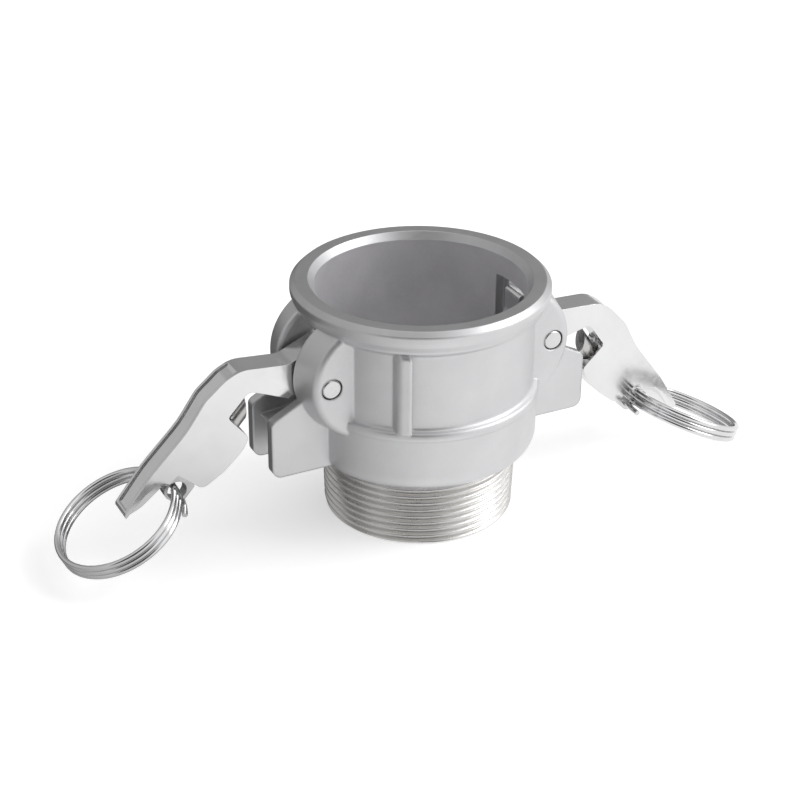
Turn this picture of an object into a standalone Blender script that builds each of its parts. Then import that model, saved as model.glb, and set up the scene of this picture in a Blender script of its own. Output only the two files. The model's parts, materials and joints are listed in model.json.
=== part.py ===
"""Quick coupling: a socket that two cam arms lock, on a tapered pipe thread end.

Metres, +Z up. The thread end stands on z = 0 and the socket opens upwards. Both cam
arms swing in the XZ plane, the left one at -X and the right one at +X.
"""
import math

import bmesh
import bpy
from mathutils import Matrix, Vector

# Driving sizes of the turned body
BORE_RADIUS = 0.0320
WATERWAY_RADIUS = 0.0254
WALL = 0.0025
HUB_STEP = 0.0015
BEAD_STEP = 0.0006
BAND_STEP = 0.0028
LIP_STEP = 0.0019
THREAD_WALL = 0.00394
THREAD_TAPER = 1 / 32
THREAD_LENGTH = 0.0210
HUB_HEIGHT = 0.0183
LEDGE_RISE = 0.0032
SOCKET_LENGTH = 0.0251
BAND_HEIGHT = 0.0085
SEAT_RISE = 0.0040
GASKET_THICKNESS = 0.00635
GASKET_LAP = 0.00135
GASKET_WIDTH = 0.00795

# Driving sizes of the arms and what they turn on
LEVER_WIDTH = 0.0086
LEVER_SIDE_GAP = 0.0012
PIN_RADIUS = 0.0030
PIVOT_STAND_OFF = 0.0025
PIVOT_RISE = 0.01165
EAR_WIDTH = 0.0336
EAR_ARC_RADIUS = 0.0198
EAR_OVER_PIVOT = 0.0084
WINDOW_WIDTH = 0.0173
RIB_OFFSET = 0.0186
RIB_WIDTH = 0.0036
RIB_RISE = 0.0030
GUARD_THICKNESS = 0.0033
GUARD_OVER_PIVOT = 0.0160
LEFT_GRIP_ANGLE = math.radians(48.0)
RIGHT_GRIP_ANGLE = math.radians(55.6)
RIGHT_SIDE_PLAY = -0.0007

# Driving sizes of the lock plunger and the pull ring
NOSE_RADIUS = 0.0026
ROD_RADIUS = 0.0013
SPRING_WIRE_RADIUS = 0.0003
SPRING_TURNS = 5.0
RING_RADIUS = 0.01905
RING_WIRE_RADIUS = 0.0007
RING_PITCH = 0.0016

# Clearances between neighbours
SLIDING_GAP = 0.0003
CASTING_STEP = 0.0001
SEATED_GAP = 0.0003

# Levels and radii that follow from the driving sizes
HUB_TOP = THREAD_LENGTH + HUB_HEIGHT
LEDGE_TOP = HUB_TOP + LEDGE_RISE
BAND_BOTTOM = LEDGE_TOP + SOCKET_LENGTH
TOP = BAND_BOTTOM + BAND_HEIGHT
SEAT_LEVEL = THREAD_LENGTH + SEAT_RISE
THREAD_RADIUS = WATERWAY_RADIUS + THREAD_WALL
WALL_RADIUS = BORE_RADIUS + WALL
HUB_RADIUS = WALL_RADIUS + HUB_STEP
BAND_RADIUS = WALL_RADIUS + BAND_STEP
LIP_RADIUS = BAND_RADIUS + LIP_STEP
PIVOT_OUT = WALL_RADIUS + PIVOT_STAND_OFF
PIVOT_LEVEL = LEDGE_TOP + PIVOT_RISE
GUARD_REACH = PIVOT_OUT + GUARD_OVER_PIVOT
SLOT_HALF = LEVER_WIDTH / 2 + LEVER_SIDE_GAP
EAR_HALF = EAR_WIDTH / 2
GASKET_RADIUS = BORE_RADIUS + GASKET_LAP
PIN_HOLE_RADIUS = PIN_RADIUS + SLIDING_GAP
NOSE_BORE_RADIUS = NOSE_RADIUS + SLIDING_GAP
ROD_HOLE_RADIUS = ROD_RADIUS + SLIDING_GAP

# Where things lie on an arm: along the grip from the pivot, and across it
PLUNGER_ACROSS = 0.0100
NOTCH_WALL = 0.0255
NOSE_TIP = 0.0176
NOSE_SHOULDER = 0.0340
BORE_END = 0.0435
LEVER_END = 0.0473
EYE_START = LEVER_END + SEATED_GAP
EYE_HOLE_ALONG = 0.0518
EYE_HOLE_ACROSS = 0.0120
EYE_HOLE_RADIUS = 0.0030
EYE_THICKNESS = 0.0038
ROD_END = 0.0482
TIP_SLANT = math.radians(48)

SEGMENTS = 72
SPRING_STEPS = 14


def clear_scene():
    """Remove every object of the start-up scene."""
    for thing in list(bpy.data.objects):
        bpy.data.objects.remove(thing, do_unlink=True)


def new_collection(name):
    """Add a collection to the scene."""
    collection = bpy.data.collections.new(name)
    bpy.context.scene.collection.children.link(collection)
    return collection


def new_material(name, colour, roughness, metallic):
    """Return a Principled material."""
    material = bpy.data.materials.new(name)
    material.use_nodes = True
    shader = material.node_tree.nodes["Principled BSDF"]
    shader.inputs["Base Color"].default_value = (*colour, 1)
    shader.inputs["Roughness"].default_value = roughness
    shader.inputs["Metallic"].default_value = metallic
    material.diffuse_color = (*colour, 1)
    return material


def add_object(name, data, collection):
    """Put data in the scene as a named object."""
    thing = bpy.data.objects.new(name, data)
    collection.objects.link(thing)
    return thing


def arc(centre, radius, first, last, steps):
    """Return points on an arc, the angles in degrees."""
    points = []
    for step in range(steps + 1):
        angle = math.radians(first + (last - first) * step / steps)
        points.append((centre[0] + radius * math.cos(angle), centre[1] + radius * math.sin(angle)))
    return points


def rounded(corners, coarse=15):
    """Return the outline through corners (a, b, fillet radius), an arc point each few degrees."""
    points = []
    for index, (a, b, radius) in enumerate(corners):
        here = Vector((a, b))
        if radius == 0:
            points.append(tuple(here))
            continue
        before = Vector(corners[index - 1][:2]) - here
        after = Vector(corners[(index + 1) % len(corners)][:2]) - here
        half = before.angle(after) / 2
        reach = min(radius / math.tan(half), 0.48 * before.length, 0.48 * after.length)
        fillet = reach * math.tan(half)
        middle = (before.normalized() + after.normalized()).normalized()
        centre = here + middle * (fillet / math.sin(half))
        start = here + before.normalized() * reach - centre
        end = here + after.normalized() * reach - centre
        first = math.atan2(start.y, start.x)
        sweep = (math.atan2(end.y, end.x) - first + math.pi) % math.tau - math.pi
        steps = max(1, math.ceil(abs(math.degrees(sweep)) / coarse))
        points += arc(centre, fillet, math.degrees(first), math.degrees(first + sweep), steps)
    return points


def turned(name, profile, collection, closed=True, steps=SEGMENTS):
    """Turn a profile of (radius, level) points about the Z axis into a solid."""
    edges = [(index, index + 1) for index in range(len(profile) - 1)]
    if closed:
        edges.append((len(profile) - 1, 0))
    mesh = bpy.data.meshes.new(name)
    mesh.from_pydata([(radius, 0, level) for radius, level in profile], edges, [])
    thing = add_object(name, mesh, collection)
    screw = thing.modifiers.new("Turn", "SCREW")
    screw.axis = "Z"
    screw.steps = steps
    screw.render_steps = steps
    screw.use_merge_vertices = True
    screw.merge_threshold = 0.00001
    bpy.context.view_layer.update()
    depsgraph = bpy.context.evaluated_depsgraph_get()
    thing.data = bpy.data.meshes.new_from_object(thing.evaluated_get(depsgraph))
    thing.modifiers.clear()
    face_outwards(thing.data)
    return thing


def face_outwards(mesh):
    """Weld a closed mesh and point its faces outwards."""
    work = bmesh.new()
    work.from_mesh(mesh)
    bmesh.ops.remove_doubles(work, verts=work.verts, dist=0.000001)
    bmesh.ops.recalc_face_normals(work, faces=work.faces)
    work.to_mesh(mesh)
    work.free()


def mesh_of_curve(name, curve, collection):
    """Turn a curve into a welded mesh object."""
    source = add_object(name + " curve", curve, collection)
    depsgraph = bpy.context.evaluated_depsgraph_get()
    mesh = bpy.data.meshes.new_from_object(source.evaluated_get(depsgraph))
    mesh.name = name
    thing = add_object(name, mesh, collection)
    thing.matrix_world = source.matrix_world.copy()
    bpy.data.objects.remove(source, do_unlink=True)
    face_outwards(mesh)
    return thing


def plate(name, outlines, half_thickness, collection, across=0.0, rim=0.0):
    """Fill outlines of (x, z) points and give the plate its thickness along Y."""
    curve = bpy.data.curves.new(name, "CURVE")
    curve.dimensions = "2D"
    curve.fill_mode = "BOTH"
    curve.extrude = half_thickness
    for outline in outlines:
        spline = curve.splines.new("POLY")
        spline.points.add(len(outline) - 1)
        for point, (a, b) in zip(spline.points, outline):
            point.co = (a, b, 0, 1)
        spline.use_cyclic_u = True
    thing = mesh_of_curve(name, curve, collection)
    upright = Matrix.Translation((0, across, 0)) @ Matrix.Rotation(math.pi / 2, 4, "X")
    thing.data.transform(upright)
    if rim:
        bevel = thing.modifiers.new("Rim", "BEVEL")
        bevel.width = rim
        bevel.limit_method = "ANGLE"
        bevel.angle_limit = math.radians(60)
    return thing


def wire(name, points, radius, collection):
    """Sweep a round wire along points, its ends capped."""
    curve = bpy.data.curves.new(name, "CURVE")
    curve.dimensions = "3D"
    curve.bevel_depth = radius
    curve.bevel_resolution = 2
    curve.use_fill_caps = True
    spline = curve.splines.new("POLY")
    spline.points.add(len(points) - 1)
    for point, place in zip(spline.points, points):
        point.co = (*place, 1)
    return mesh_of_curve(name, curve, collection)


def rod(name, radius, start, end, collection, steps=32):
    """Return a straight round bar between two points."""
    start = Vector(start)
    end = Vector(end)
    work = bmesh.new()
    length = (end - start).length
    bmesh.ops.create_cone(work, cap_ends=True, segments=steps, radius1=radius, radius2=radius, depth=length)
    mesh = bpy.data.meshes.new(name)
    work.to_mesh(mesh)
    work.free()
    turn = (end - start).to_track_quat("Z", "Y").to_matrix().to_4x4()
    mesh.transform(Matrix.Translation((start + end) / 2) @ turn)
    return add_object(name, mesh, collection)


def block(name, low, high, collection):
    """Return a box between two corners."""
    work = bmesh.new()
    bmesh.ops.create_cube(work, size=1)
    mesh = bpy.data.meshes.new(name)
    work.to_mesh(mesh)
    work.free()
    low = Vector(low)
    high = Vector(high)
    mesh.transform(Matrix.Translation((low + high) / 2) @ Matrix.Diagonal((*(high - low), 1)))
    return add_object(name, mesh, collection)


def boolean(target, tool, operation):
    """Add, take away or intersect a tool, which stays hidden in the cutters collection."""
    modifier = target.modifiers.new(tool.name, "BOOLEAN")
    modifier.operation = operation
    modifier.solver = "EXACT"
    modifier.object = tool
    tool.hide_render = True
    tool.display_type = "WIRE"


def finish(node, material):
    """Fix a node's modifiers in its mesh and shade its round faces smooth."""
    bpy.context.view_layer.update()
    depsgraph = bpy.context.evaluated_depsgraph_get()
    mesh = bpy.data.meshes.new_from_object(node.evaluated_get(depsgraph))
    node.modifiers.clear()
    node.data = mesh
    mesh.name = node.name
    mesh.materials.clear()
    mesh.materials.append(material)
    for polygon in mesh.polygons:
        polygon.use_smooth = True
        polygon.material_index = 0
    mesh.set_sharp_from_angle(angle=math.radians(30))


def body_shell(collection):
    """Return the turned body: its outside, thread end, waterway, gasket groove and socket."""
    thread_top_radius = THREAD_RADIUS + THREAD_LENGTH * THREAD_TAPER
    shoulder = HUB_RADIUS - thread_top_radius
    shoulder_level = THREAD_LENGTH + 0.0003 + shoulder
    hub_curve = arc((thread_top_radius, shoulder_level), shoulder, 0, -90, 6)
    lip_level = TOP - 0.0034
    profile = [(BORE_RADIUS + 0.0016, TOP), (LIP_RADIUS - 0.0017, TOP)]
    profile += [(LIP_RADIUS, TOP - 0.0015), (LIP_RADIUS, lip_level)]
    profile += [(LIP_RADIUS - 0.0005, lip_level - 0.0015), (BAND_RADIUS, lip_level - 0.0036)]
    profile += [(BAND_RADIUS, BAND_BOTTOM + 0.0012), (BAND_RADIUS - 0.0006, BAND_BOTTOM + 0.0003)]
    profile += [(WALL_RADIUS + 0.0008, BAND_BOTTOM - 0.0003), (WALL_RADIUS, BAND_BOTTOM - 0.0014)]
    profile += [(WALL_RADIUS, LEDGE_TOP + 0.0004), (WALL_RADIUS + 0.0005, LEDGE_TOP)]
    profile += [(HUB_RADIUS + BEAD_STEP / 3, LEDGE_TOP - 0.0007), (HUB_RADIUS + BEAD_STEP, LEDGE_TOP - 0.0017)]
    profile += [(HUB_RADIUS + BEAD_STEP / 2, HUB_TOP + 0.0003), (HUB_RADIUS, HUB_TOP)]
    profile += hub_curve
    profile += [(thread_top_radius, THREAD_LENGTH), (THREAD_RADIUS, 0), (WATERWAY_RADIUS, 0)]
    groove_radius = GASKET_RADIUS + SEATED_GAP
    groove_top = SEAT_LEVEL + GASKET_THICKNESS + 2 * SEATED_GAP
    profile += [(WATERWAY_RADIUS, SEAT_LEVEL), (groove_radius, SEAT_LEVEL)]
    profile += [(groove_radius, groove_top), (BORE_RADIUS, groove_top)]
    profile += [(BORE_RADIUS, TOP - 0.0022)]
    return turned("body", profile, collection)


def ears(collection):
    """Return the four curved cheeks that carry the pivot pins."""
    inner = WALL_RADIUS - 0.0010
    centre = (PIVOT_OUT + EAR_OVER_PIVOT - EAR_ARC_RADIUS, PIVOT_LEVEL - 0.00015)
    reach = math.degrees(math.acos((inner - centre[0]) / EAR_ARC_RADIUS))
    cheeks = turned("ear ring", arc(centre, EAR_ARC_RADIUS, reach, -reach, 20), collection)
    far = PIVOT_OUT + 0.02
    slab = block("ear slab", (-far, -EAR_HALF, 0), (far, EAR_HALF, TOP + 0.01), collection)
    half = SLOT_HALF + CASTING_STEP
    slot = block("ear slot", (-far, -half, 0), (far, half, TOP + 0.01), collection)
    boolean(slab, slot, "DIFFERENCE")
    boolean(cheeks, slab, "INTERSECT")
    return cheeks


def guards(side, collection):
    """Return the two plates and the catch web of one side."""
    inner = GASKET_RADIUS + 2 * SEATED_GAP
    bottom = SEAT_LEVEL - 0.0009
    outline = rounded([
        (side * inner, bottom, 0),
        (side * GUARD_REACH, bottom, 0.0030),
        (side * GUARD_REACH, LEDGE_TOP, 0.0015),
        (side * (PIVOT_OUT + 0.0074), LEDGE_TOP + 0.0045, 0.0030),
        (side * (PIVOT_OUT + 0.0030), LEDGE_TOP + 0.0069, 0),
        (side * inner, LEDGE_TOP + 0.0069, 0),
    ])
    middle = SLOT_HALF + 2 * CASTING_STEP + GUARD_THICKNESS / 2
    pieces = []
    for across in (-middle, middle):
        name = "guard plate"
        pieces.append(plate(name, [outline], GUARD_THICKNESS / 2, collection, across, rim=0.0005))
    catch_radius = 0.0206
    under = arc((0, PIVOT_LEVEL), catch_radius, -50, -88, 8)
    root = inner + CASTING_STEP
    web = [(side * root, HUB_TOP + 0.0006), (side * (PIVOT_OUT + 0.0010), HUB_TOP + 0.0006)]
    web += [(side * (PIVOT_OUT + 0.0131), HUB_TOP - 0.0008)]
    web += [(side * (PIVOT_OUT + a), b) for a, b in under]
    web += [(side * root, under[-1][1])]
    pieces.append(plate("catch web", [web], SLOT_HALF + 0.0006, collection))
    return pieces


def rib(side, collection):
    """Return one upright rib on the recessed wall: its flanks run along Y, its crest is round."""
    inner = WALL_RADIUS - 0.0010
    crest = WALL_RADIUS + RIB_RISE
    low = LEDGE_TOP - 0.0010
    high = BAND_BOTTOM - 0.0003
    near = side * RIB_OFFSET
    far = side * (RIB_OFFSET + RIB_WIDTH)
    outline = rounded([(near, low, 0.0012), (near, high, 0.0012), (far, high, 0.0012), (far, low, 0.0012)])
    bar = plate("rib", [outline], WALL_RADIUS / 2, collection, across=side * WALL_RADIUS)
    section = [(inner, high + 0.001), (crest - 0.0008, high + 0.001), (crest, high - 0.0009)]
    section += [(crest, low + 0.0012), (crest - 0.0012, low - 0.001), (inner, low - 0.001)]
    boolean(bar, turned("rib crest", section, collection, steps=2 * SEGMENTS), "INTERSECT")
    return bar


def build_body(nodes, cutters, material):
    """Build the one-piece casting with its ears, guards, catches and bores."""
    body = body_shell(nodes)
    boolean(body, ears(cutters), "UNION")
    for side in (-1, 1):
        for piece in guards(side, cutters):
            boolean(body, piece, "UNION")
    for side in (-1, 1):
        boolean(body, rib(side, cutters), "UNION")
    far = PIVOT_OUT + 0.02
    low = HUB_TOP + 0.0011
    high = BAND_BOTTOM - 0.0005
    window = block("window cutter", (-far, -SLOT_HALF, low), (far, SLOT_HALF, high), cutters)
    boolean(body, window, "DIFFERENCE")
    far = WALL_RADIUS - 0.0009
    half = WINDOW_WIDTH / 2
    recess = block("recess cutter", (-far, -half, low + 0.0010), (far, half, high), cutters)
    boolean(body, recess, "DIFFERENCE")
    for side in (-1, 1):
        place = side * PIVOT_OUT
        start = (place, -EAR_HALF - 0.001, PIVOT_LEVEL)
        end = (place, EAR_HALF + 0.001, PIVOT_LEVEL)
        boolean(body, rod("pin hole cutter", PIN_HOLE_RADIUS, start, end, cutters), "DIFFERENCE")
    finish(body, material)
    return body


def build_gasket(nodes, material):
    """Build the flat sealing ring that lies on the seat."""
    low = SEAT_LEVEL + SEATED_GAP
    high = low + GASKET_THICKNESS
    edge = 0.0005
    inner = GASKET_RADIUS - GASKET_WIDTH
    profile = [(inner + edge, high), (GASKET_RADIUS - edge, high), (GASKET_RADIUS, high - edge)]
    profile += [(GASKET_RADIUS, low + edge), (GASKET_RADIUS - edge, low), (inner + edge, low)]
    profile += [(inner, low + edge), (inner, high - edge)]
    gasket = turned("gasket", profile, nodes)
    finish(gasket, material)
    return gasket


def arm_place(side, grip_angle, side_play):
    """Return the matrix from an arm's own frame to the world: X along the grip, Z across it."""
    along = Vector((side * math.cos(grip_angle), 0, -math.sin(grip_angle)))
    across = Vector((side * math.sin(grip_angle), 0, math.cos(grip_angle)))
    sideways = across.cross(along)
    turn = Matrix((along, sideways, across)).transposed().to_4x4()
    return Matrix.Translation((side * PIVOT_OUT, side_play, PIVOT_LEVEL)) @ turn


def lever_outline():
    """Return the side view of a cam arm."""
    head_centre = (0.0018, -0.0022)
    head_radius = 0.0072
    corners = [(-0.0116, 0.0026, 0.0012), (-0.0117, 0.0010, 0.0010), (-0.0066, -0.0023, 0.0030)]
    corners += [(a, b, 0) for a, b in arc(head_centre, head_radius, 200, 350, 14)]
    corners += [
        (0.0108, 0.0018, 0.0020),
        (0.0129, 0.0080, 0.0040),
        (0.0152, 0.0143, 0.0025),
        (NOTCH_WALL - 0.0003, 0.0145, 0.0012),
        (NOTCH_WALL + 0.0012, 0.0046, 0.0015),
        (0.0310, 0.0035, 0.0080),
        (0.0390, 0.0042, 0.0120),
        (LEVER_END - 0.0003, 0.0066, 0.0028),
        (LEVER_END - 0.0001, 0.0166, 0.0010),
        (0.0536, 0.0172, 0.0100),
        (0.0615, 0.0186, 0.0080),
        (0.0663, 0.0209, 0.0020),
        (0.0656, 0.0230, 0.0015),
        (0.0520, 0.0238, 0.0400),
        (0.0350, 0.0229, 0.0300),
        (0.0245, 0.0242, 0.0080),
        (0.0163, 0.0230, 0.0060),
        (0.0113, 0.0209, 0.0120),
        (0.0024, 0.0090, 0.0060),
    ]
    return rounded(corners)


def build_lever(name, place, nodes, cutters, material):
    """Build one cam arm with its pin hole and the bore for its plunger."""
    hole = arc((0, 0), PIN_HOLE_RADIUS, 0, 348.75, 31)
    lever = plate(name, [lever_outline(), hole], LEVER_WIDTH / 2, nodes, rim=0.0005)
    start = (NOTCH_WALL - 0.002, 0, PLUNGER_ACROSS)
    bore = rod("plunger bore cutter", NOSE_BORE_RADIUS, start, (BORE_END, 0, PLUNGER_ACROSS), cutters)
    start = (BORE_END - 0.001, 0, PLUNGER_ACROSS)
    end = (LEVER_END + 0.002, 0, PLUNGER_ACROSS)
    for tool in (bore, rod("rod hole cutter", ROD_HOLE_RADIUS, start, end, cutters, 24)):
        tool.matrix_world = place
        boolean(lever, tool, "DIFFERENCE")
    lever.matrix_world = place
    finish(lever, material)
    return lever


def build_pin(name, side, nodes, material):
    """Build one pivot pin, its ends chamfered and flush with the ears."""
    edge = 0.0004
    profile = [(0, EAR_HALF), (PIN_RADIUS - edge, EAR_HALF), (PIN_RADIUS, EAR_HALF - edge)]
    profile += [(radius, -level) for radius, level in reversed(profile)]
    pin = turned(name, profile, nodes, closed=False, steps=32)
    pin.matrix_world = (Matrix.Translation((side * PIVOT_OUT, 0, PIVOT_LEVEL))
                        @ Matrix.Rotation(math.pi / 2, 4, "X"))
    finish(pin, material)
    return pin


def build_plunger(name, place, nodes, cutters, material):
    """Build one lock plunger: a nose with a slanted tip on a thin rod."""
    profile = [(0, ROD_END), (ROD_RADIUS, ROD_END), (ROD_RADIUS, NOSE_SHOULDER)]
    profile += [(NOSE_RADIUS, NOSE_SHOULDER), (NOSE_RADIUS, NOSE_TIP), (0, NOSE_TIP)]
    plunger = turned(name, profile, nodes, closed=False, steps=32)
    along = Matrix.Translation((0, 0, PLUNGER_ACROSS)) @ Matrix.Rotation(math.pi / 2, 4, "Y")
    plunger.matrix_world = place @ along
    wedge = block("tip cutter", (-0.01, -0.01, -0.01), (0, 0.01, 0.01), cutters)
    middle = NOSE_TIP + NOSE_RADIUS * math.tan(TIP_SLANT)
    slant = Matrix.Rotation(-TIP_SLANT, 4, "Y")
    wedge.matrix_world = place @ Matrix.Translation((middle, 0, PLUNGER_ACROSS)) @ slant
    boolean(plunger, wedge, "DIFFERENCE")
    finish(plunger, material)
    return plunger


def build_spring(name, place, nodes, material):
    """Build the compression spring behind the plunger's nose."""
    low = NOSE_SHOULDER + SPRING_WIRE_RADIUS + SEATED_GAP / 3
    high = BORE_END - SPRING_WIRE_RADIUS - SEATED_GAP / 3
    radius = (ROD_RADIUS + NOSE_BORE_RADIUS) / 2
    steps = int(SPRING_TURNS * SPRING_STEPS)
    points = []
    for step in range(steps + 1):
        angle = step * math.tau / SPRING_STEPS
        level = low + (high - low) * step / steps
        points.append((level, radius * math.cos(angle), PLUNGER_ACROSS + radius * math.sin(angle)))
    spring = wire(name, points, SPRING_WIRE_RADIUS, nodes)
    spring.matrix_world = place
    finish(spring, material)
    return spring


def build_eye(name, place, nodes, cutters, material):
    """Build the block on the rod's end, with the hole that holds the pull ring."""
    low = EYE_HOLE_ACROSS - 0.0040
    high = EYE_HOLE_ACROSS + 0.0038
    end = EYE_HOLE_ALONG + 0.0036
    outline = rounded([(EYE_START, low, 0.0008), (end, low, 0.0030), (end, high, 0.0030), (EYE_START, high, 0.0008)])
    hole = arc((EYE_HOLE_ALONG, EYE_HOLE_ACROSS), EYE_HOLE_RADIUS, 0, 345, 23)
    eye = plate(name, [outline, hole], EYE_THICKNESS / 2, nodes, rim=0.0003)
    start = (EYE_START - 0.001, 0, PLUNGER_ACROSS)
    socket_end = (ROD_END + SEATED_GAP, 0, PLUNGER_ACROSS)
    socket = rod("rod socket cutter", ROD_HOLE_RADIUS, start, socket_end, cutters, 24)
    socket.matrix_world = place
    boolean(eye, socket, "DIFFERENCE")
    eye.matrix_world = place
    finish(eye, material)
    return eye


def build_ring(name, side, place, pose, nodes, material):
    """Build one pull ring: a flat coil of wire through the eye, its origin on the hole."""
    dip, swing, twist = (math.radians(angle) for angle in pose)
    out = Vector((math.cos(dip) * math.cos(swing), -math.cos(dip) * math.sin(swing), -math.sin(dip)))
    level_side = Vector((0, 0, 1)).cross(out).normalized()
    back = level_side * math.cos(twist) + out.cross(level_side) * math.sin(twist)
    normal = out.cross(back)
    mirror = Matrix.Diagonal((side, 1, 1))
    first, last, steps = -0.05, 2.96, 108
    points = []
    for step in range(steps + 1):
        turn = first + (last - first) * step / steps
        angle = turn * math.tau
        place_on_ring = out * (RING_RADIUS * (1 - math.cos(angle))) + back * (RING_RADIUS * math.sin(angle))
        points.append(mirror @ (place_on_ring + normal * (RING_PITCH * (turn - 1))))
    ring = wire(name, points, RING_WIRE_RADIUS, nodes)
    ring.matrix_world = Matrix.Translation(place @ Vector((EYE_HOLE_ALONG, 0, EYE_HOLE_ACROSS)))
    finish(ring, material)
    return ring


def build_side(word, side, grip_angle, side_play, ring_pose, nodes, cutters, looks):
    """Build everything that one cam arm carries, and its pivot pin."""
    place = arm_place(side, grip_angle, side_play)
    build_pin("pivot_pin_" + word, side, nodes, looks["pin"])
    build_lever("cam_arm_" + word, place, nodes, cutters, looks["arm"])
    build_plunger("lock_plunger_" + word, place, nodes, cutters, looks["plunger"])
    build_spring("plunger_spring_" + word, place, nodes, looks["spring"])
    build_eye("pull_eye_" + word, place, nodes, cutters, looks["eye"])
    build_ring("pull_ring_" + word, side, place, ring_pose, nodes, looks["ring"])


def main():
    """Build the coupling."""
    clear_scene()
    nodes = new_collection("cam_lock_coupler")
    cutters = new_collection("cutters")
    looks = {
        "body": new_material("cast stainless", (0.56, 0.55, 0.53), 0.45, 1.0),
        "arm": new_material("polished arm", (0.66, 0.65, 0.63), 0.22, 1.0),
        "pin": new_material("pin steel", (0.60, 0.59, 0.57), 0.28, 1.0),
        "plunger": new_material("plunger steel", (0.42, 0.41, 0.40), 0.35, 1.0),
        "spring": new_material("spring wire", (0.50, 0.49, 0.48), 0.30, 1.0),
        "eye": new_material("eye steel", (0.55, 0.54, 0.53), 0.32, 1.0),
        "ring": new_material("ring wire", (0.62, 0.61, 0.60), 0.20, 1.0),
        "gasket": new_material("seal rubber", (0.03, 0.03, 0.03), 0.65, 0.0),
    }
    build_body(nodes, cutters, looks["body"])
    build_gasket(nodes, looks["gasket"])
    build_side("left", -1, LEFT_GRIP_ANGLE, 0, (25.6, -3.4, 5.3), nodes, cutters, looks)
    build_side("right", 1, RIGHT_GRIP_ANGLE, RIGHT_SIDE_PLAY, (21.5, 22.3, -11.7), nodes, cutters, looks)


main()
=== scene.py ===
import json
import math

import bmesh
import bpy
from mathutils import Matrix, Vector


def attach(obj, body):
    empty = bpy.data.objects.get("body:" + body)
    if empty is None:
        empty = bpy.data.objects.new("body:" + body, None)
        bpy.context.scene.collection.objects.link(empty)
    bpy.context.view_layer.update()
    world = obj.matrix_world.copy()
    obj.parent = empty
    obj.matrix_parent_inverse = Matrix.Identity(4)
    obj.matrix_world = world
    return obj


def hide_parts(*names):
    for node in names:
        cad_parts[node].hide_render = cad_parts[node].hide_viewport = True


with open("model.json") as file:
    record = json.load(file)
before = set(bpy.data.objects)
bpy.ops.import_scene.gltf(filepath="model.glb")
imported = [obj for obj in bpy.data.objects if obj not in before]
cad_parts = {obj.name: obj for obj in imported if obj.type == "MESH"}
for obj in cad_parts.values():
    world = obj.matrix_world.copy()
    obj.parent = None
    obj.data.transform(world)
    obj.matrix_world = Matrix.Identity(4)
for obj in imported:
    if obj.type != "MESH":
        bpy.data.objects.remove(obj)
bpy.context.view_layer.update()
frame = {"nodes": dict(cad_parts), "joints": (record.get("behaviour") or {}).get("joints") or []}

# The photo's camera in the part's frame, in metres and degrees
CAMERA_PLACE = (-0.24524, -0.47211, 0.32068)
CAMERA_TURN = (61.6799, -0.4005, -26.6015)
CAMERA_LENS = 88.306

# The side that the studio's light comes from
LIGHT_SIDE = Vector((0.60, -0.72, 0.35)).normalized()

# The directions of the studio's dark patches: behind the object, on the floor and round the camera
BEHIND = Vector((0.41, 0.79, 0.46)).normalized()
BACK_LEFT = Vector((-0.46, 0.89, 0)).normalized()
CAMERA_SIDE = Vector((-0.41, -0.79, 0.46)).normalized()

# The brightness around the object on its dark and its bright side
STUDIO_DARK = 0.50
STUDIO_BRIGHT = 1.04

# The cosine to the light's side at which the brightness has reached either end
STUDIO_REACH = 0.75

# How the patches darken: cosine at the rim, cosine at the core, share of the light taken away
BEHIND_PATCH = (0.72, 0.95, 0.52)
BACK_LEFT_PATCH = (0.25, 0.80, 0.82)
CAMERA_PATCH = (0.74, 0.92, 0.92)

# The one lamp: where it stands, its width in metres and its power in watts
KEY_PLACE = (1.0, -0.5, 0.9)
KEY_SIZE = 0.8
KEY_POWER = 7

# Sizes of the solids that these pieces stand for, in metres
BORE_RADIUS = 0.0320
WATERWAY_RADIUS = 0.0254
WALL_RADIUS = 0.0345
HUB_RADIUS = 0.0360
BEAD_RADIUS = 0.0366
BAND_RADIUS = 0.0373
LIP_RADIUS = 0.0392
THREAD_RADIUS = 0.02934
THREAD_TAPER = 1 / 32
THREAD_LENGTH = 0.0210
HUB_TOP = 0.0393
LEDGE_TOP = 0.0425
BAND_BOTTOM = 0.0676
TOP = 0.0761
SEAT_LEVEL = 0.0250
GASKET_RADIUS = 0.03335
GASKET_THICKNESS = 0.00635
PIVOT_OUT = 0.0370
PIVOT_LEVEL = 0.05415
PIN_RADIUS = 0.0030
SLOT_HALF = 0.0055
EAR_HALF = 0.0168
EAR_ARC_RADIUS = 0.0198
EAR_OUT = 0.0454
RIB_INNER = 0.0186
RIB_OUTER = 0.02225
RIB_RISE = 0.0030
RECESS_HALF = 0.00865
RECESS_DEPTH = 0.0009
GUARD_THICKNESS = 0.0033
GUARD_REACH = 0.0530
CATCH_RADIUS = 0.0206
LEVER_HALF = 0.0043
PLUNGER_ACROSS = 0.0100
NOTCH_WALL = 0.0255
NOSE_TIP = 0.0176
NOSE_SHOULDER = 0.0340
NOSE_RADIUS = 0.0026
ROD_RADIUS = 0.0013
ROD_END = 0.0482
BORE_END = 0.0435
LEVER_END = 0.0473
EYE_HOLE_ALONG = 0.0518
EYE_HOLE_ACROSS = 0.0120
EYE_HOLE_RADIUS = 0.0030
EYE_HALF = 0.0019
TIP_SLANT = math.radians(48)
RING_RADIUS = 0.01905
GAP = 0.0003

# Edges and hollows that the solids have sharp or leave out, in metres
EAR_EDGE = 0.0016
RIB_EDGE = 0.0011
GUARD_RIM = 0.0007
LEVER_RIM = 0.0006
EYE_RIM = 0.0004
PANEL_DEPTH = 0.0005
PANEL_BORDER = 0.0011
SCOOP_WEB_HALF = 0.0019

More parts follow.
